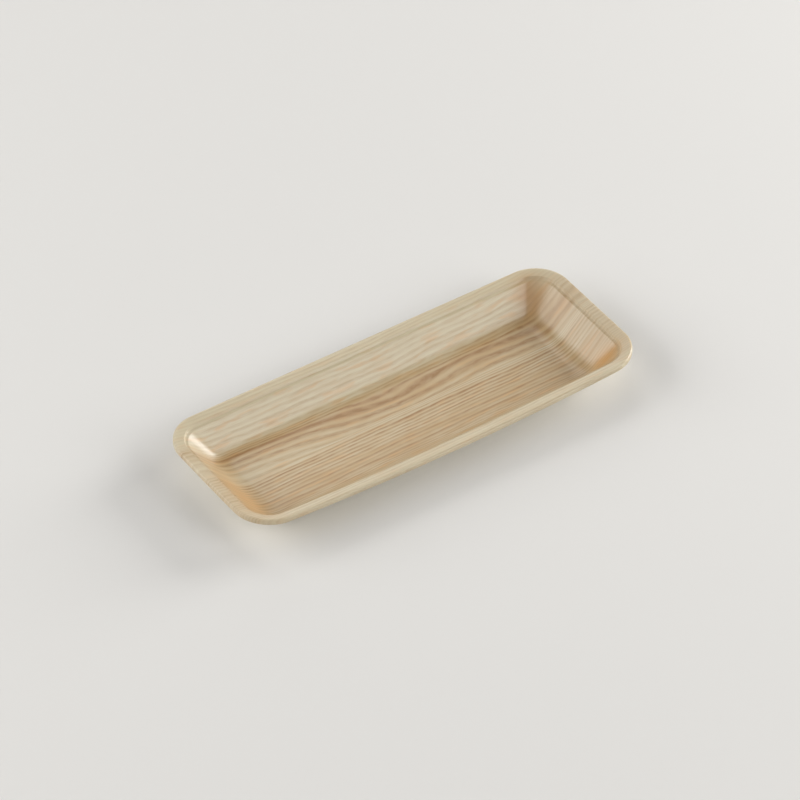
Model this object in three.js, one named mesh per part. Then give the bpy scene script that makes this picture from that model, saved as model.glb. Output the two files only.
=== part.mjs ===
// A disposable food tray: a long, shallow tray pressed from one sheet of foamed plastic, with a film
// printed in wood grain laminated to its food side and carried over the rim to the cut edge.
// Millimetres, +Z up. The origin is under the middle of the base, on the surface that the tray stands on.

import * as THREE from 'three';
import { mergeVertices } from 'three/addons/utils/BufferGeometryUtils.js';

// Plan of the rim, before its sides bow out
const rimLength = 258;
const rimWidth = 97.7;
const rimCornerRadius = 21;

// How far the middle of each long side and of each end bows out and sags
const sideBow = 2.6;
const sideSag = 2.8;
const endBow = 0.3;
const endSag = 0.5;

// Section of the rim, from its outer edge inward: a turned-down lip, a flange and a small stacking step
const lipDrop = 3.3;
const lipRound = 1.3;
const flangeWidth = 6.2;
const flangeFall = 1.6;
const flangeRound = 0.7;
const stepRun = 0.75;
const stepFall = 1.45;
const stepRound = 0.5;
const ledgeWidth = 1.45;
const ledgeFall = 0.75;
const ledgeRound = 1;

// Walls and base. The depth is from the top line of the rim to the food side of the base
const innerDepth = 20;
const endWallAngle = 47;
const sideWallAngle = 52;
const baseFillet = 10;
const baseCornerRadius = 6;

// Thickness of the sheet, and the rounding where its underside turns from the flange to the wall
const filmThickness = 0.1;
const foamThickness = 2;
const undersideRound = 1.2;

// How many straight steps stand for each curve
const cornerSteps = 8;
const sideSteps = 10;
const endSteps = 4;
const lipSteps = 4;
const smallRoundSteps = 3;
const filletSteps = 7;

const sheetThickness = filmThickness + foamThickness;
const halfLength = rimLength / 2;
const halfWidth = rimWidth / 2;

// Where the stacking step ends and the wall begins, as an inset from the rim's edge
const wallTopInset = flangeWidth + stepRun + ledgeWidth;
const wallTopHeight = -(flangeFall + stepFall + ledgeFall);

// One corner of a section: inset from the rim's edge, height over the rim's top line, rounding and its steps
function sectionCorner(inset, height, round = 0, steps = 0) {
  return { point: new THREE.Vector2(inset, height), round, steps };
}

// Inset at which a wall of this angle, drawn down straight, would meet the base
function baseInset(wallAngle) {
  const slope = Math.tan(THREE.MathUtils.degToRad(wallAngle));
  return wallTopInset + (innerDepth + wallTopHeight) / slope;
}

// The food side, from the foot of the lip to the flat of the base
function faceSection(wallAngle) {
  const stepInset = flangeWidth + stepRun;
  const base = baseInset(wallAngle);
  return [
    sectionCorner(0, -lipDrop),
    sectionCorner(0, 0, lipRound, lipSteps),
    sectionCorner(flangeWidth, -flangeFall, flangeRound, smallRoundSteps),
    sectionCorner(stepInset, -flangeFall - stepFall, stepRound, smallRoundSteps),
    sectionCorner(wallTopInset, wallTopHeight, ledgeRound, smallRoundSteps),
    sectionCorner(base, -innerDepth, baseFillet, filletSteps),
    sectionCorner(base + halfWidth, -innerDepth),
  ];
}

// The same section without the stacking step, which the underside doesn't follow
function plainSection(wallAngle) {
  const wallSlope = Math.tan(THREE.MathUtils.degToRad(wallAngle));
  const flangeSlope = flangeFall / flangeWidth;
  const turnInset = (wallTopHeight + wallSlope * wallTopInset) / (wallSlope - flangeSlope);
  const base = baseInset(wallAngle);
  return [
    sectionCorner(0, -lipDrop),
    sectionCorner(0, 0),
    sectionCorner(turnInset, -flangeSlope * turnInset, sheetThickness + undersideRound, smallRoundSteps),
    sectionCorner(base, -innerDepth, baseFillet, filletSteps),
    sectionCorner(base + halfWidth, -innerDepth),
  ];
}

// A section moved into the sheet by a distance, with every rounding kept parallel
function offsetSection(corners, distance) {
  const points = corners.map((corner) => corner.point);
  const along = points.slice(1).map((point, i) => point.clone().sub(points[i]).normalize());
  const into = along.map((way) => new THREE.Vector2(way.y, -way.x));
  return corners.map((corner, i) => {
    const before = into[Math.max(i - 1, 0)];
    const after = into[Math.min(i, into.length - 1)];
    const shift = before.clone().add(after).multiplyScalar(distance / (1 + before.dot(after)));
    const turn = before.cross(after);
    const round = Math.max(corner.round + Math.sign(turn) * distance, 0);
    const moved = points[i].clone().add(shift);
    return sectionCorner(moved.x, moved.y, corner.round > 0 ? round : 0, corner.steps);
  });
}

// How much of a straight an arc may use up: half where the other end is rounded too, or nearly all of it
function roomForArc(straight, neighbour) {
  return straight.length() * (neighbour.round > 0 ? 0.5 : 0.95);
}

// The arc that rounds one corner, limited by the straights beside it
function roundedCorner(previous, corner, next) {
  const back = previous.point.clone().sub(corner.point);
  const ahead = next.point.clone().sub(corner.point);
  const halfAngle = Math.abs(back.angleTo(ahead)) / 2;
  const room = Math.min(roomForArc(back, previous), roomForArc(ahead, next));
  const reach = Math.min(corner.round / Math.tan(halfAngle), room);
  const radius = reach * Math.tan(halfAngle);
  const start = corner.point.clone().addScaledVector(back.normalize(), reach);
  const end = corner.point.clone().addScaledVector(ahead.normalize(), reach);
  const toCentre = back.clone().add(ahead).normalize();
  const centre = corner.point.clone().addScaledVector(toCentre, radius / Math.sin(halfAngle));
  const clockwise = back.cross(ahead) > 0;
  const startAngle = start.sub(centre).angle();
  const endAngle = end.sub(centre).angle();
  const arc = new THREE.ArcCurve(centre.x, centre.y, radius, startAngle, endAngle, clockwise);
  return arc.getPoints(corner.steps);
}

// A section's stations in order, up to the point where the fillet runs out into the flat base
function sectionStations(corners) {
  const inner = corners.slice(1, -1).flatMap((corner, i) => (
    corner.steps > 0 ? roundedCorner(corners[i], corner, corners[i + 2]) : [corner.point]
  ));
  return [corners[0].point, ...inner];
}

// Corner radius in plan: concentric with the rim down to the wall, then closing in to the base's own radius
function cornerRadius(inset, fullInset) {
  const concentric = rimCornerRadius - Math.min(inset, wallTopInset);
  const down = THREE.MathUtils.clamp((inset - wallTopInset) / (fullInset - wallTopInset), 0, 1);
  return THREE.MathUtils.lerp(concentric, baseCornerRadius, down);
}

// The bow and sag of the rim, which fade towards the middle of the tray and the flat of the base
function bowedPoint(x, y, height) {
  const alongX = x / halfLength;
  const alongY = y / halfWidth;
  const outOfBase = Math.max(1 + height / innerDepth, 0);
  const sag = sideSag * (1 - alongX ** 2) * alongY ** 2 + endSag * (1 - alongY ** 2) * alongX ** 2;
  return new THREE.Vector3(
    x * (1 + (endBow / halfLength) * (1 - alongY ** 2)),
    y * (1 + (sideBow / halfWidth) * (1 - alongX ** 2)),
    height - sag * outOfBase,
  );
}

// One closed ring of the tray at a station, anticlockwise from above
function trayRing(endStation, sideStation) {
  const meanInset = (endStation.x + sideStation.x) / 2;
  const meanBase = (baseInset(endWallAngle) + baseInset(sideWallAngle)) / 2;
  const radius = cornerRadius(meanInset, meanBase);
  const straightX = halfLength - endStation.x - radius;
  const straightY = halfWidth - sideStation.x - radius;
  const quarters = [[1, 1], [-1, 1], [-1, -1], [1, -1]];
  const ring = [];
  quarters.forEach(([signX, signY], quarter) => {
    for (let step = 0; step <= cornerSteps; step += 1) {
      const turn = (quarter + step / cornerSteps) * (Math.PI / 2);
      const x = signX * straightX + radius * Math.cos(turn);
      const y = signY * straightY + radius * Math.sin(turn);
      const height = THREE.MathUtils.lerp(endStation.y, sideStation.y, Math.sin(turn) ** 2);
      ring.push(bowedPoint(x, y, height));
    }
    const alongSide = quarter % 2 === 0;
    const steps = alongSide ? sideSteps : endSteps;
    for (let step = 1; step < steps; step += 1) {
      const share = 1 - (2 * step) / steps;
      const x = alongSide ? share * signX * straightX : signX * (straightX + radius);
      const y = alongSide ? signY * (straightY + radius) : share * signY * straightY;
      ring.push(bowedPoint(x, y, alongSide ? sideStation.y : endStation.y));
    }
  });
  return ring;
}

// All rings of one face of the sheet, moved into the sheet by a distance
function faceRings(section, distance) {
  const ends = sectionStations(offsetSection(section(endWallAngle), distance));
  const sides = sectionStations(offsetSection(section(sideWallAngle), distance));
  return ends.map((endStation, i) => trayRing(endStation, sides[i]));
}

// Triangles between two rings, facing up where the second ring lies inside the first
function bandTriangles(outer, inner) {
  return outer.flatMap((corner, i) => {
    const next = (i + 1) % outer.length;
    return [[corner, outer[next], inner[next]], [corner, inner[next], inner[i]]];
  });
}

// Triangles of a whole face, closed by a flat base
function faceTriangles(rings) {
  const bands = rings.slice(1).flatMap((ring, i) => bandTriangles(rings[i], ring));
  const last = rings.at(-1);
  const middle = new THREE.Vector3(0, 0, last[0].z);
  const base = last.map((corner, i) => [corner, last[(i + 1) % last.length], middle]);
  return [...bands, ...base];
}

// One layer of the sheet as a closed body between its upper and its lower face
function layerGeometry(upperRings, lowerRings) {
  const lower = [...faceTriangles(lowerRings), ...bandTriangles(upperRings[0], lowerRings[0])];
  const facingDown = lower.map(([first, second, third]) => [first, third, second]);
  const corners = [...faceTriangles(upperRings), ...facingDown].flat();
  const geometry = new THREE.BufferGeometry().setFromPoints(corners);
  const merged = mergeVertices(geometry);
  merged.computeVertexNormals();
  return merged;
}

function layerMesh(name, upperRings, lowerRings, material) {
  const mesh = new THREE.Mesh(layerGeometry(upperRings, lowerRings), material);
  mesh.name = name;
  return mesh;
}

const printedFace = faceRings(faceSection, 0);
const laminatedFace = faceRings(faceSection, filmThickness);
const underside = faceRings(plainSection, sheetThickness);

const filmMaterial = new THREE.MeshStandardMaterial({ color: 0xd2bd92, roughness: 0.42, metalness: 0 });
const foamMaterial = new THREE.MeshStandardMaterial({ color: 0xe9e2d0, roughness: 0.8, metalness: 0 });

const tray = new THREE.Group();
tray.add(layerMesh('grain_film', printedFace, laminatedFace, filmMaterial));
tray.add(layerMesh('foam_body', laminatedFace, underside, foamMaterial));

// The tray stands on the underside of its base
tray.position.z = innerDepth + sheetThickness;

export default tray;
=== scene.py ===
"""The looks of a disposable food tray: a sheet of foamed plastic with a film printed in wood grain.

The frame is that of the solids: +X along the tray, +Z up, the origin under the base. Shapes are in metres,
and the patterns of the print and the foam are laid out in millimetres.
"""

import math
from typing import NamedTuple

import bmesh
import bpy
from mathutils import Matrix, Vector


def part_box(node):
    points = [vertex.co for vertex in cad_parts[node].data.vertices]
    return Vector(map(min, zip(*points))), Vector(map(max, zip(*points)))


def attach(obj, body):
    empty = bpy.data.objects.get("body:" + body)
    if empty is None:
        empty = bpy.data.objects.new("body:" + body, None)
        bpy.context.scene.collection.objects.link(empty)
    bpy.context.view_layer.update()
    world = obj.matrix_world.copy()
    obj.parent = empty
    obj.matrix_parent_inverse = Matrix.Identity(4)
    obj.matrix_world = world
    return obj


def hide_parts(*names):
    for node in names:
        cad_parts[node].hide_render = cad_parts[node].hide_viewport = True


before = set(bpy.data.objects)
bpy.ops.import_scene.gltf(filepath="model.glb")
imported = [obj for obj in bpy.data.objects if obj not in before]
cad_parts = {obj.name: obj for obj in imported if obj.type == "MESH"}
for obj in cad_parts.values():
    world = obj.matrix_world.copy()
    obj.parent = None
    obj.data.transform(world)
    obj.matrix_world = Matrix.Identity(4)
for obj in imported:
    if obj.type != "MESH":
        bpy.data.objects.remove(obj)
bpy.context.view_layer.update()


# Units

MM = 0.001


def srgb(red, green, blue):
    """A colour written as on screen, 0 to 255, as the linear colour that a shader takes."""
    def linear(value):
        share = value / 255
        return share / 12.92 if share <= 0.04045 else ((share + 0.055) / 1.055) ** 2.4
    return (linear(red), linear(green), linear(blue), 1.0)


# Bow and sag of the rim between its corners
SIDE_BOW = 2.6 * MM
SIDE_SAG = 2.8 * MM
END_BOW = 0.3 * MM
END_SAG = 0.5 * MM

# Section of the rim, from its outer edge inward
RIM_CORNER_RADIUS = 21 * MM
LIP_DROP = 3.3 * MM
LIP_ROUND = 1.37 * MM
FLANGE_WIDTH = 6.2 * MM
FLANGE_FALL = 1.6 * MM
FLANGE_ROUND = 0.45 * MM
STEP_RUN = 0.75 * MM
STEP_FALL = 1.45 * MM
STEP_ROUND = 0.3 * MM
LEDGE_WIDTH = 1.45 * MM
LEDGE_FALL = 0.75 * MM
LEDGE_ROUND = 1.0 * MM

# Walls and base
INNER_DEPTH = 20 * MM
END_WALL_ANGLE = math.radians(47)
SIDE_WALL_ANGLE = math.radians(52)
END_FILLET = 17 * MM
SIDE_FILLET = 10 * MM
BASE_CORNER_RADIUS = 6 * MM
FILM_THICKNESS = 0.1 * MM
UNDERSIDE_ROUND = 1.2 * MM

# Sizes that follow from the frame
film_low, film_high = (Vector(corner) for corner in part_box("grain_film"))
HALF_LENGTH = (film_high.x - film_low.x) / 2 - END_BOW
HALF_WIDTH = (film_high.y - film_low.y) / 2 - SIDE_BOW
FOAM_THICKNESS = film_low.z
SHEET_THICKNESS = FILM_THICKNESS + FOAM_THICKNESS
RIM_HEIGHT = INNER_DEPTH + SHEET_THICKNESS
WALL_TOP_INSET = FLANGE_WIDTH + STEP_RUN + LEDGE_WIDTH
WALL_TOP_HEIGHT = -(FLANGE_FALL + STEP_FALL + LEDGE_FALL)

# How finely the section is divided: its straights, then its roundings
LIP_STEPS = 2
FLANGE_STEPS = 4
WALL_STEPS = 8
LIP_ARC_STEPS = 10
SMALL_ARC_STEPS = 6
UNDERSIDE_ARC_STEPS = 8
BASE_ARC_STEPS = 16

# How finely the rings are divided, and how many there are on the flat of the base
CORNER_STEPS = 20
SIDE_STEPS = 64
END_STEPS = 24
BASE_RINGS = 5

# The quarters of a ring, anticlockwise from above, as the signs of X and Y
QUARTERS = ((1, 1), (-1, 1), (-1, -1), (1, -1))

# Points closer than the first are merged, and edges that turn by more than the second stay sharp
MERGE_DISTANCE = 0.001 * MM
SHARP_ANGLE = math.radians(50)


class Zone(NamedTuple):
    """A band of grain: its far edge, how many rings it has, how dark they are, how warm the ground is."""

    far_edge: float
    rings: int
    darkness: float
    warmth: float


# Printed grain, in millimetres across the sheet, zone by zone from the near edge to the far one
SHEET_EDGE = 52.0
# Painted sheen in part: the first zone, over the near flange, and the last, over the far wall and far
# flange, are pale partly as print and partly to paint the sheen those surfaces catch
GRAIN_ZONES = (
    Zone(-42.0, 5, 0.3, 0.2),
    Zone(-22.3, 12, 0.4, 0.75),
    Zone(-11.6, 4, 0.55, 0.8),
    Zone(2.6, 6, 0.75, 0.55),
    Zone(15.0, 2, 0.5, 0.3),
    Zone(19.6, 1, 0.58, 0.55),
    Zone(24.0, 1, 0.66, 0.75),
    Zone(27.2, 1, 0.92, 1.0),
    Zone(30.6, 3, 0.52, 0.75),
    Zone(SHEET_EDGE, 10, 0.26, 0.05),
)
ZONE_BLEND = 1.5
GRAIN_SLOPE = 0.01

# The rings beyond the middle dip towards the near side halfway along, and rise a little further on
DIP_CENTRE = -2.0
DIP_LENGTH = 50.0
DIP_DEPTH = 7.8
CREST_CENTRE = 56.0
CREST_LENGTH = 12.0
CREST_HEIGHT = 0.8
SWAY_STARTS = (2.0, 6.5)
SWAY_FADES = (14.0, 29.0)
SWAY_AT_FAR_EDGE = 0.15

# They also fan out from the left end to the right one
FAN_START = -100.0
FAN_SLOPE = 0.054
FAN_FADES = (8.0, 36.0)

# One ring, as shares of its width: it darkens slowly and ends sharply
RING_DARKENS = (0.1, 0.65)
RING_ENDS = (0.72, 1.0)

# How much darker or fainter a ring is than its zone: from ring to ring, and from place to place along it
RING_TO_RING = (0.65, 1.25)
ALONG_RING = (0.5, 1.4)

# Noise in the print: the length and width of its marks, in millimetres
WANDER_SIZE = (50.0, 12.0)
ALONG_RING_SIZE = (30.0, 3.0)
FLECK_SIZE = (7.0, 0.9)
FIBRE_SIZE = (9.0, 0.3)
PATCH_SIZE = (26.0, 4.0)
BLUSH_SIZE = (18.0, 2.6)
NOISE_MIDDLE = 0.5
NOISE_DETAIL = 2.0
FIBRE_DETAIL = 3.0

# What the noise does: where its rise starts and ends, and the level before it and after it
WANDER_WIDTH = 3.2
FLECK_LEVELS = (0.3, 0.7, 0.65, 1.35)
FIBRE_LEVELS = (0.4, 0.75, 0.0, 0.25)
PATCH_LEVELS = (0.3, 0.7, -0.2, 0.2)
BLUSH_LEVELS = (0.5, 0.72, 0.0, 0.34)

# Colours of the print. The blush orange and the brown also paint shade into the corners and the left end
# wall, and the rim colour paints sheen over the rim
PALE_GROUND = srgb(207, 196, 166)
WARM_GROUND = srgb(189, 161, 119)
LATE_WOOD = srgb(157, 120, 77)
FIBRE = srgb(179, 146, 104)
BLUSH_AND_SHADE_ORANGE = srgb(213, 161, 101)
SHADE_BROWN = srgb(186, 136, 79)
RIM_SHEEN_COLOUR = srgb(210, 197, 169)

# Painted shade: places where the colour is made warmer and darker, as the tray's corners and left end wall
# lie in shade and take orange bounce light: centre along and across, reach along and across, strength,
# colour
PAINTED_SHADE_SPOTS = (
    (-114.0, -12.0, 9.0, 24.0, 0.58, BLUSH_AND_SHADE_ORANGE),
    (109.0, 35.0, 9.0, 9.0, 0.7, SHADE_BROWN),
    (113.0, -31.5, 7.0, 7.0, 0.7, BLUSH_AND_SHADE_ORANGE),
)

# One ring is darker than the rest along part of the tray: its centre and its reach, along and across
STREAK_CENTRE = (-55.0, 26.2)
STREAK_REACH = (55.0, 1.3)
STREAK_STRENGTH = 0.25

# Painted sheen: over the rim the print is painted paler and its rings fainter, where the flange catches
# sheen. The rings are also fainter on the stretched end walls
RIM_FROM = (-9.0, -6.5)
RIM_SHEEN_PALING = 0.5
RINGS_ON_RIM = 0.75
END_WALLS_FROM = (102.0, 112.0)
RINGS_ON_END_WALLS = 0.6

# Surface of the film
FILM_ROUGHNESS = (0.28, 0.38)
FIBRE_RELIEF = 0.01 * MM

# Foam: its colours, and its clouds and cells with levels as for the print's noise
FOAM_PALE = srgb(236, 229, 211)
FOAM_CLOUD = srgb(226, 217, 196)
FOAM_CELL = srgb(205, 194, 170)
CLOUDS_PER_MM = 0.06
CLOUD_LEVELS = (0.3, 0.7)
CELLS_PER_MM = 2.2
CELL_TINT_LEVELS = (0.0, 0.5, 0.25, 0.0)
CELL_ROUGHNESS_LEVELS = (0.0, 0.6, 0.55, 0.7)
CELL_RELIEF = 0.05 * MM

# Camera of the reference view. Azimuth 0 looks along +Y
CAMERA_AZIMUTH = math.radians(-34.22)
CAMERA_ELEVATION = math.radians(41.556)
CAMERA_DISTANCE = 3.2843
CAMERA_LENS_MM = 270
CAMERA_SENSOR_MM = 36
CAMERA_TARGET = Vector((-6.72 * MM, -5.45 * MM, RIM_HEIGHT))

# Studio
FLOOR_SIZE = 12.0
FLOOR_DROP = 0.05 * MM
FLOOR_COLOUR = srgb(226, 224, 220)
FLOOR_ROUGHNESS = 0.9
WORLD_COLOUR = (1.0, 1.0, 1.0, 1.0)
WORLD_STRENGTH = 0.02
SOFTBOX_DISTANCE = 1.9

# Each softbox: name, bearing from +X and elevation in degrees, width and height in metres, power in watts
SOFTBOXES = (
    ("right_softbox", -4, 19, 0.92, 0.86, 28.4),
    ("front_right_softbox", -58, 29, 1.0, 1.0, 14.0),
    ("left_softbox", 138, 28, 1.3, 1.2, 20.2),
    ("back_softbox", 67, 44, 0.8, 0.7, 4.5),
    ("low_back_softbox", 62, 18, 1.2, 0.6, 3.2),
    ("front_softbox", -120, 40, 1.4, 1.0, 4.8),
    ("far_left_softbox", 178, 30, 1.0, 0.9, 9.8),
)


# Sections

class Corner:
    """A corner of a section, its rounding, and the steps of its arc and of the straight after it."""

    def __init__(self, inset, height, rounding=0.0, arc_steps=0, straight_steps=1):
        self.point = Vector((inset, height))
        self.rounding = rounding
        self.arc_steps = arc_steps
        self.straight_steps = straight_steps


def base_inset(wall_angle):
    """Inset at which a wall of this angle, drawn down straight, would meet the base."""
    return WALL_TOP_INSET + (INNER_DEPTH + WALL_TOP_HEIGHT) / math.tan(wall_angle)


def face_section(wall_angle, base_fillet):
    """The food side, from the foot of the lip to the flat of the base."""
    base = base_inset(wall_angle)
    return [
        Corner(0, -LIP_DROP, straight_steps=LIP_STEPS),
        Corner(0, 0, LIP_ROUND, LIP_ARC_STEPS, FLANGE_STEPS),
        Corner(FLANGE_WIDTH, -FLANGE_FALL, FLANGE_ROUND, SMALL_ARC_STEPS),
        Corner(FLANGE_WIDTH + STEP_RUN, -FLANGE_FALL - STEP_FALL, STEP_ROUND, SMALL_ARC_STEPS),
        Corner(WALL_TOP_INSET, WALL_TOP_HEIGHT, LEDGE_ROUND, SMALL_ARC_STEPS, WALL_STEPS),
        Corner(base, -INNER_DEPTH, base_fillet, BASE_ARC_STEPS),
        Corner(base + HALF_WIDTH, -INNER_DEPTH),
    ]


def plain_section(wall_angle, base_fillet):
    """The same section without the stacking step, which the underside doesn't follow."""
    base = base_inset(wall_angle)
    flange_slope = FLANGE_FALL / FLANGE_WIDTH
    wall_slope = math.tan(wall_angle)
    turn = (WALL_TOP_HEIGHT + wall_slope * WALL_TOP_INSET) / (wall_slope - flange_slope)
    turn_round = SHEET_THICKNESS + UNDERSIDE_ROUND
    return [
        Corner(0, -LIP_DROP),
        Corner(0, 0, straight_steps=FLANGE_STEPS),
        Corner(turn, -flange_slope * turn, turn_round, UNDERSIDE_ARC_STEPS, WALL_STEPS),
        Corner(base, -INNER_DEPTH, base_fillet, BASE_ARC_STEPS),
        Corner(base + HALF_WIDTH, -INNER_DEPTH),
    ]


def cross(a, b):
    """Cross product of two plane vectors."""
    return a.x * b.y - a.y * b.x


def offset_section(corners, distance):
    """A section moved into the sheet by a distance, with every rounding kept parallel."""
    ways = [(b.point - a.point).normalized() for a, b in zip(corners, corners[1:])]
    normals = [Vector((way.y, -way.x)) for way in ways]
    moved = []
    for i, corner in enumerate(corners):
        before = normals[max(i - 1, 0)]
        after = normals[min(i, len(normals) - 1)]
        point = corner.point + (before + after) * (distance / (1 + before.dot(after)))
        rounding = 0.0
        if corner.rounding > 0:
            rounding = max(corner.rounding + math.copysign(distance, cross(before, after)), 0)
        moved.append(Corner(point.x, point.y, rounding, corner.arc_steps, corner.straight_steps))
    return moved


def rounded_corner(previous, corner, following):
    """Points of the arc that rounds one corner."""
    back = (previous.point - corner.point).normalized()
    ahead = (following.point - corner.point).normalized()
    half_angle = back.angle(ahead) / 2
    reach = corner.rounding / math.tan(half_angle)
    centre = corner.point + (back + ahead).normalized() * (corner.rounding / math.sin(half_angle))
    spoke = corner.point + back * reach - centre
    sweep = math.copysign(math.pi - 2 * half_angle, cross(ahead, back))
    points = []
    for step in range(corner.arc_steps + 1):
        angle = sweep * step / corner.arc_steps
        turned = Vector((
            spoke.x * math.cos(angle) - spoke.y * math.sin(angle),
            spoke.x * math.sin(angle) + spoke.y * math.cos(angle),
        ))
        points.append(centre + turned)
    return points


def section_stations(corners):
    """Points along a section, up to where the base fillet runs out into the flat."""
    stations = [corners[0].point]
    straight_steps = corners[0].straight_steps
    for previous, corner, following in zip(corners, corners[1:], corners[2:]):
        points = rounded_corner(previous, corner, following) if corner.arc_steps else [corner.point]
        start = stations[-1]
        for step in range(1, straight_steps):
            stations.append(start.lerp(points[0], step / straight_steps))
        stations.extend(points)
        straight_steps = corner.straight_steps
    return stations


# Rings

def clamp(value):
    """A value kept between 0 and 1."""
    return min(max(value, 0.0), 1.0)


def corner_radius(inset, full_inset):
    """Radius in plan: concentric with the rim down to the wall, then closing in to the base's own radius."""
    concentric = RIM_CORNER_RADIUS - min(inset, WALL_TOP_INSET)
    down = clamp((inset - WALL_TOP_INSET) / (full_inset - WALL_TOP_INSET))
    return concentric + (BASE_CORNER_RADIUS - concentric) * down


def bowed_point(x, y, height):
    """A point of the tray after the rim has bowed out and sagged between its corners."""
    along = (x / HALF_LENGTH) ** 2
    across = (y / HALF_WIDTH) ** 2
    out_of_base = max(1 + height / INNER_DEPTH, 0)
    sag = SIDE_SAG * (1 - along) * across + END_SAG * (1 - across) * along
    return Vector((
        x * (1 + END_BOW / HALF_LENGTH * (1 - across)),
        y * (1 + SIDE_BOW / HALF_WIDTH * (1 - along)),
        RIM_HEIGHT + height - sag * out_of_base,
    ))


def ring_points(straight_x, straight_y, radius, end_height, side_height):
    """A closed ring, anticlockwise from above: each quarter is a round corner and then a straight side."""
    ring = []
    for quarter, (sign_x, sign_y) in enumerate(QUARTERS):
        centre_x = sign_x * straight_x
        centre_y = sign_y * straight_y
        for step in range(CORNER_STEPS + 1):
            turn = (quarter + step / CORNER_STEPS) * math.pi / 2
            x = centre_x + radius * math.cos(turn)
            y = centre_y + radius * math.sin(turn)
            height = end_height + (side_height - end_height) * math.sin(turn) ** 2
            ring.append(bowed_point(x, y, height))
        along_side = quarter % 2 == 0
        steps = SIDE_STEPS if along_side else END_STEPS
        for step in range(1, steps):
            share = 1 - 2 * step / steps
            if along_side:
                ring.append(bowed_point(share * centre_x, centre_y + sign_y * radius, side_height))
            else:
                ring.append(bowed_point(centre_x + sign_x * radius, share * centre_y, end_height))
    return ring


def face_rings(section, distance):
    """All rings of one face of the sheet, at a distance into it, from the lip to the base's middle line."""
    ends = section_stations(offset_section(section(END_WALL_ANGLE, END_FILLET), distance))
    sides = section_stations(offset_section(section(SIDE_WALL_ANGLE, SIDE_FILLET), distance))
    full_inset = (base_inset(END_WALL_ANGLE) + base_inset(SIDE_WALL_ANGLE)) / 2
    rings = []
    for end, side in zip(ends, sides):
        radius = corner_radius((end.x + side.x) / 2, full_inset)
        straight_x = HALF_LENGTH - end.x - radius
        straight_y = HALF_WIDTH - side.x - radius
        rings.append(ring_points(straight_x, straight_y, radius, end.y, side.y))
    # The last of these rings is the edge of the flat, which closes in evenly from there
    for step in range(1, BASE_RINGS + 1):
        share = 1 - step / BASE_RINGS
        shrink = (straight_y + radius) * (1 - share)
        inner_x = straight_x + radius - shrink - radius * share
        rings.append(ring_points(inner_x, straight_y * share, radius * share, end.y, side.y))
    return rings


# Meshes

def add_band(mesh, outer, inner, facing_up):
    """Faces between two rings of vertices."""
    count = len(outer)
    for i in range(count):
        following = (i + 1) % count
        corners = [outer[i], outer[following], inner[following], inner[i]]
        mesh.faces.new(corners if facing_up else reversed(corners))


def add_face(mesh, rings, facing_up):
    """One whole face of the sheet. Returns its outermost ring of vertices."""
    vertices = [[mesh.verts.new(point) for point in ring] for ring in rings]
    for outer, inner in zip(vertices, vertices[1:]):
        add_band(mesh, outer, inner, facing_up)
    return vertices[0]


def layer_piece(name, upper_rings, lower_rings, material, node):
    """One layer of the sheet as a closed piece that stands for its solid."""
    mesh = bmesh.new()
    upper_edge = add_face(mesh, upper_rings, True)
    lower_edge = add_face(mesh, lower_rings, False)
    add_band(mesh, upper_edge, lower_edge, False)
    bmesh.ops.remove_doubles(mesh, verts=mesh.verts, dist=MERGE_DISTANCE)
    data = bpy.data.meshes.new(name)
    mesh.to_mesh(data)
    mesh.free()
    data.polygons.foreach_set("use_smooth", [True] * len(data.polygons))
    data.set_sharp_from_angle(angle=SHARP_ANGLE)
    data.materials.append(material)
    piece = bpy.data.objects.new(name, data)
    bpy.context.scene.collection.objects.link(piece)
    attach(piece, "root")
    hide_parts(node)


# Node trees

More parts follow.
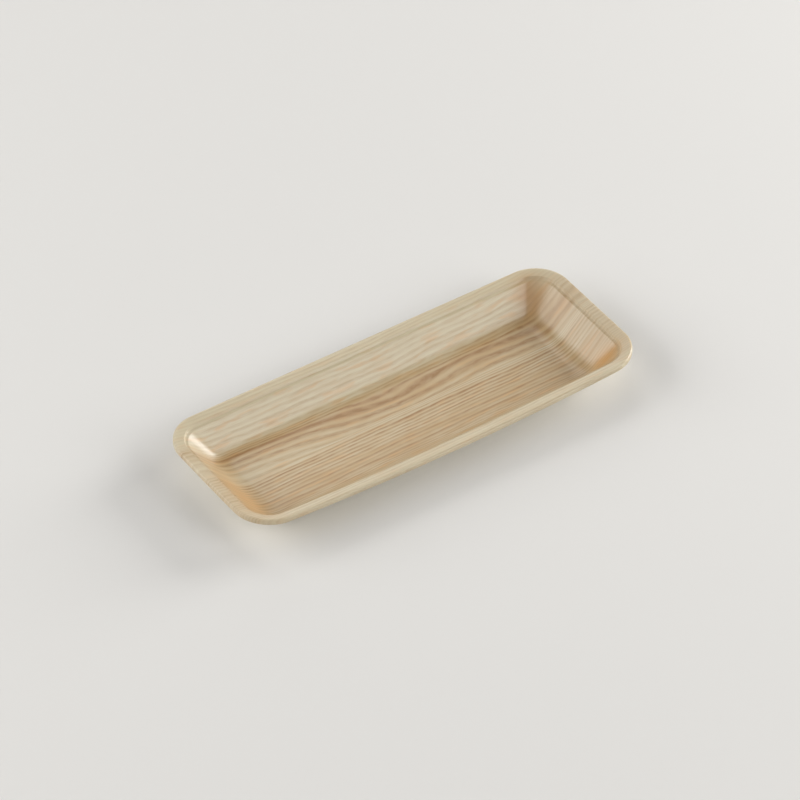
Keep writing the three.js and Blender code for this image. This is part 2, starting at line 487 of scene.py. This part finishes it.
class Graph:
    """The node tree of one material, with a short call for each kind of node that it needs."""

    # Sockets of a mix node that mixes colours, which share their names with others on the node
    MIX_FACTOR = 0
    MIX_FIRST = 6
    MIX_SECOND = 7
    MIX_RESULT = 2

    def __init__(self, name):
        self.material = bpy.data.materials.new(name)
        self.material.use_nodes = True
        self.tree = self.material.node_tree
        self.shader = self.tree.nodes["Principled BSDF"]

    def feed(self, socket, value):
        """Links a socket to another one, or sets it to a plain value."""
        if isinstance(value, bpy.types.NodeSocket):
            self.tree.links.new(value, socket)
        else:
            socket.default_value = value

    def node(self, kind, inputs=(), **settings):
        """A node of any kind, with its settings made before its inputs are fed."""
        node = self.tree.nodes.new(kind)
        for key, value in settings.items():
            setattr(node, key, value)
        for key, value in dict(inputs).items():
            self.feed(node.inputs[key], value)
        return node

    def math(self, operation, *values):
        return self.node("ShaderNodeMath", enumerate(values), operation=operation).outputs["Value"]

    def product(self, first, *others):
        for other in others:
            first = self.math("MULTIPLY", first, other)
        return first

    def total(self, first, *others):
        for other in others:
            first = self.math("ADD", first, other)
        return first

    def smooth_step(self, value, start, end, low=0.0, high=1.0):
        """A smooth rise from low to high as a value goes from start to end, level outside them."""
        inputs = {"Value": value, "From Min": start, "From Max": end, "To Min": low, "To Max": high}
        return self.node("ShaderNodeMapRange", inputs, interpolation_type="SMOOTHSTEP").outputs["Result"]

    def blend(self, share, start, end):
        """A level that goes from start to end as a share goes from 0 to 1."""
        return self.math("MULTIPLY_ADD", share, end - start, start)

    def hump(self, value, centre, length):
        """A smooth hump of height 1 that fades out over a length on both sides of its centre."""
        away = self.math("DIVIDE", self.math("SUBTRACT", value, centre), length)
        return self.math("EXPONENT", self.product(away, away, -1.0))

    def vector(self, x, y, z=0.0):
        return self.node("ShaderNodeCombineXYZ", {"X": x, "Y": y, "Z": z}).outputs["Vector"]

    def noise(self, vector, scale=1.0, detail=NOISE_DETAIL):
        inputs = {"Vector": vector, "Scale": scale, "Detail": detail}
        return self.node("ShaderNodeTexNoise", inputs).outputs["Fac"]

    def stretched_noise(self, x, y, size, detail=NOISE_DETAIL):
        """Noise in marks of about this length and width, in the units of x and y."""
        length, width = size
        point = self.vector(self.math("DIVIDE", x, length), self.math("DIVIDE", y, width))
        return self.noise(point, detail=detail)

    def curve(self, value, points):
        """A curve from 0..1 to 0..1 through the given points, straight between them."""
        node = self.node("ShaderNodeFloatCurve", {"Value": value})
        line = node.mapping.curves[0]
        for x, y in points[1:-1]:
            line.points.new(x, y)
        line.points[0].location = points[0]
        line.points[-1].location = points[-1]
        for point in line.points:
            point.handle_type = "VECTOR"
        node.mapping.update()
        return node.outputs["Value"]

    def mix(self, factor, first, second):
        """A colour that goes from the first to the second as a factor goes from 0 to 1."""
        inputs = {self.MIX_FACTOR: factor, self.MIX_FIRST: first, self.MIX_SECOND: second}
        return self.node("ShaderNodeMix", inputs, data_type="RGBA").outputs[self.MIX_RESULT]

    def bump(self, height, distance):
        inputs = {"Height": height, "Distance": distance, "Strength": 1.0}
        return self.node("ShaderNodeBump", inputs).outputs["Normal"]

    def position_mm(self):
        """The X, Y and Z of a surface point, in millimetres."""
        coordinates = self.node("ShaderNodeTexCoord").outputs["Object"]
        parts = self.node("ShaderNodeSeparateXYZ", {"Vector": coordinates}).outputs
        return [self.math("DIVIDE", part, MM) for part in parts]

    def finished(self, colour, roughness, normal=None):
        """The material, once its shader has its colour, its roughness and any relief."""
        self.feed(self.shader.inputs["Base Color"], colour)
        self.feed(self.shader.inputs["Roughness"], roughness)
        if normal is not None:
            self.feed(self.shader.inputs["Normal"], normal)
        return self.material


# Printed film

def grain_coordinate(graph, x, y):
    """The place across the sheet that a point had before its grain dipped, fanned out and wandered."""
    dip = graph.product(graph.hump(x, DIP_CENTRE, DIP_LENGTH), DIP_DEPTH)
    crest = graph.product(graph.hump(x, CREST_CENTRE, CREST_LENGTH), -CREST_HEIGHT)
    starts = graph.smooth_step(y, *SWAY_STARTS)
    fades = graph.smooth_step(y, *SWAY_FADES, 1.0, SWAY_AT_FAR_EDGE)
    across = graph.total(y, graph.product(graph.total(dip, crest), starts, fades))
    from_start = graph.math("SUBTRACT", x, FAN_START)
    fan_fades = graph.smooth_step(across, *FAN_FADES, 1.0, 0.0)
    fan = graph.product(from_start, FAN_SLOPE, starts, fan_fades)
    noise = graph.stretched_noise(x, y, WANDER_SIZE)
    wander = graph.product(graph.math("SUBTRACT", noise, NOISE_MIDDLE), WANDER_WIDTH)
    slope = graph.product(x, -GRAIN_SLOPE)
    return graph.total(across, fan, wander, slope)


def share_across(millimetres):
    """A place across the sheet as a share of its width, from the near edge."""
    return (millimetres + SHEET_EDGE) / (2 * SHEET_EDGE)


def ring_counts():
    """How many rings there are up to the end of each zone, as points of a curve, and in all."""
    points = [(0.0, 0.0)]
    count = 0
    for zone in GRAIN_ZONES:
        count += zone.rings
        points.append((share_across(zone.far_edge), count))
    return [(place, passed / count) for place, passed in points], count


def zone_curve(levels):
    """Points of a curve that holds one level in each zone, with a short blend between zones."""
    points = []
    start = -SHEET_EDGE
    for zone, level in zip(GRAIN_ZONES, levels):
        points.append((share_across(start + ZONE_BLEND), level))
        points.append((share_across(zone.far_edge - ZONE_BLEND), level))
        start = zone.far_edge
    return points


def rim_distance(graph, x, y):
    """How far a point is outside the edge of the rim, in plan and in millimetres: negative on the tray."""
    radius = RIM_CORNER_RADIUS / MM
    side = graph.math("ABSOLUTE", y)
    along = graph.math("DIVIDE", x, HALF_LENGTH / MM)
    bow = graph.math("MULTIPLY_ADD", graph.product(along, along), -SIDE_BOW / MM, SIDE_BOW / MM)
    past_end = graph.math("SUBTRACT", graph.math("ABSOLUTE", x), HALF_LENGTH / MM - radius)
    past_side = graph.math("SUBTRACT", graph.math("SUBTRACT", side, bow), HALF_WIDTH / MM - radius)
    corner = graph.vector(graph.math("MAXIMUM", past_end, 0.0), graph.math("MAXIMUM", past_side, 0.0))
    length = graph.node("ShaderNodeVectorMath", {0: corner}, operation="LENGTH").outputs["Value"]
    return graph.math("SUBTRACT", length, radius)


def ring_strength(graph, x, across, place):
    """How dark the rings are at a point, and the one darker streak among them."""
    count_curve, count = ring_counts()
    ring = graph.product(graph.curve(place, count_curve), count)
    phase = graph.math("FRACT", ring)
    number = graph.math("FLOOR", ring)
    chance = graph.node("ShaderNodeTexWhiteNoise", {"W": number}, noise_dimensions="1D").outputs["Value"]
    flecks = graph.stretched_noise(x, across, FLECK_SIZE)
    rings = graph.product(
        graph.smooth_step(phase, *RING_DARKENS),
        graph.smooth_step(phase, *RING_ENDS, 1.0, 0.0),
        graph.curve(place, zone_curve(zone.darkness for zone in GRAIN_ZONES)),
        graph.blend(chance, *RING_TO_RING),
        graph.blend(graph.stretched_noise(x, across, ALONG_RING_SIZE), *ALONG_RING),
        graph.smooth_step(flecks, *FLECK_LEVELS),
    )
    streak_along = graph.hump(x, STREAK_CENTRE[0], STREAK_REACH[0])
    streak_across = graph.hump(across, STREAK_CENTRE[1], STREAK_REACH[1])
    return graph.total(rings, graph.product(streak_along, streak_across, STREAK_STRENGTH))


def ground_colour(graph, x, across, place, fibres):
    """The wood between the rings: pale to warm by zones and patches, with fibres and a faint blush."""
    patches = graph.stretched_noise(x, across, PATCH_SIZE)
    blush = graph.stretched_noise(x, across, BLUSH_SIZE)
    zones = graph.curve(place, zone_curve(zone.warmth for zone in GRAIN_ZONES))
    warmth = graph.total(zones, graph.smooth_step(patches, *PATCH_LEVELS))
    colour = graph.mix(warmth, PALE_GROUND, WARM_GROUND)
    colour = graph.mix(graph.smooth_step(fibres, *FIBRE_LEVELS), colour, FIBRE)
    return graph.mix(graph.smooth_step(blush, *BLUSH_LEVELS), colour, BLUSH_AND_SHADE_ORANGE)


def film_material():
    """Satin film printed in wood grain, with painted sheen over the rim and painted shade in the corners and
    on the left end wall.
    """
    graph = Graph("printed_film")
    x, y, _ = graph.position_mm()
    across = grain_coordinate(graph, x, y)
    place = graph.math("DIVIDE", graph.total(across, SHEET_EDGE), 2 * SHEET_EDGE)
    rim = graph.smooth_step(rim_distance(graph, x, y), *RIM_FROM)
    end_wall = graph.smooth_step(graph.math("ABSOLUTE", x), *END_WALLS_FROM)
    fibres = graph.stretched_noise(x, across, FIBRE_SIZE, FIBRE_DETAIL)
    ground = ground_colour(graph, x, across, place, fibres)
    # Painted sheen: the print is painted paler over the rim
    ground = graph.mix(graph.product(rim, RIM_SHEEN_PALING), ground, RIM_SHEEN_COLOUR)
    # Painted shade: warmer, darker colour in the corners and on the left end wall, where shade and orange
    # bounce light fall
    for spot_x, spot_y, reach_x, reach_y, strength, tint in PAINTED_SHADE_SPOTS:
        spot = graph.product(graph.hump(x, spot_x, reach_x), graph.hump(y, spot_y, reach_y), strength)
        ground = graph.mix(spot, ground, tint)
    rings = graph.product(
        ring_strength(graph, x, across, place),
        graph.blend(rim, 1.0, RINGS_ON_RIM),
        graph.blend(end_wall, 1.0, RINGS_ON_END_WALLS),
    )
    colour = graph.mix(rings, ground, LATE_WOOD)
    return graph.finished(colour, graph.blend(fibres, *FILM_ROUGHNESS), graph.bump(fibres, FIBRE_RELIEF))


# Foam

def foam_material():
    """Bare foam sheet: a pale skin over fine closed cells."""
    graph = Graph("foam")
    point = graph.vector(*graph.position_mm())
    cell_inputs = {"Vector": point, "Scale": CELLS_PER_MM}
    cells = graph.node("ShaderNodeTexVoronoi", cell_inputs, feature="SMOOTH_F1").outputs["Distance"]
    clouds = graph.noise(point, CLOUDS_PER_MM)
    colour = graph.mix(graph.smooth_step(clouds, *CLOUD_LEVELS), FOAM_PALE, FOAM_CLOUD)
    colour = graph.mix(graph.smooth_step(cells, *CELL_TINT_LEVELS), colour, FOAM_CELL)
    roughness = graph.smooth_step(cells, *CELL_ROUGHNESS_LEVELS)
    return graph.finished(colour, roughness, graph.bump(cells, CELL_RELIEF))


# Tray

printed_face = face_rings(face_section, 0.0)
laminated_face = face_rings(face_section, FILM_THICKNESS)
underside = face_rings(plain_section, SHEET_THICKNESS)
layer_piece("grain_film_skin", printed_face, laminated_face, film_material(), "grain_film")
layer_piece("foam_sheet", laminated_face, underside, foam_material(), "foam_body")


# Studio

def add_floor():
    """Plain pale floor, a hair below the tray."""
    bpy.ops.mesh.primitive_plane_add(size=FLOOR_SIZE, location=(0.0, 0.0, -FLOOR_DROP))
    floor = bpy.context.object
    floor.name = "floor"
    floor.data.materials.append(Graph("floor").finished(FLOOR_COLOUR, FLOOR_ROUGHNESS))


def direction(bearing, elevation):
    """Unit vector from the tray towards a place in the studio. The bearing is from +X, anticlockwise."""
    return Vector((
        math.cos(bearing) * math.cos(elevation),
        math.sin(bearing) * math.cos(elevation),
        math.sin(elevation),
    ))


def add_softbox(name, bearing, elevation, width, height, power):
    """A rectangular soft lamp that faces the tray. Bearing and elevation are in degrees."""
    data = bpy.data.lights.new(name, "AREA")
    data.shape = "RECTANGLE"
    data.size = width
    data.size_y = height
    data.energy = power
    lamp = bpy.data.objects.new(name, data)
    towards = direction(math.radians(bearing), math.radians(elevation))
    lamp.location = towards * SOFTBOX_DISTANCE
    lamp.rotation_euler = towards.to_track_quat("Z", "Y").to_euler()
    bpy.context.scene.collection.objects.link(lamp)


def add_world():
    """A little even light from all round."""
    world = bpy.data.worlds.new("studio")
    world.use_nodes = True
    background = world.node_tree.nodes["Background"]
    background.inputs["Color"].default_value = WORLD_COLOUR
    background.inputs["Strength"].default_value = WORLD_STRENGTH
    bpy.context.scene.world = world


def add_camera():
    """The camera of the reference view, which stands back from its target."""
    data = bpy.data.cameras.new("camera")
    data.lens = CAMERA_LENS_MM
    data.sensor_width = CAMERA_SENSOR_MM
    camera = bpy.data.objects.new("camera", data)
    back = direction(CAMERA_AZIMUTH - math.pi / 2, CAMERA_ELEVATION)
    camera.location = CAMERA_TARGET + back * CAMERA_DISTANCE
    camera.rotation_euler = back.to_track_quat("Z", "Y").to_euler()
    bpy.context.scene.collection.objects.link(camera)
    bpy.context.scene.camera = camera


add_floor()
add_world()
for softbox in SOFTBOXES:
    add_softbox(*softbox)
add_camera()
bpy.context.scene.view_settings.view_transform = "Standard"
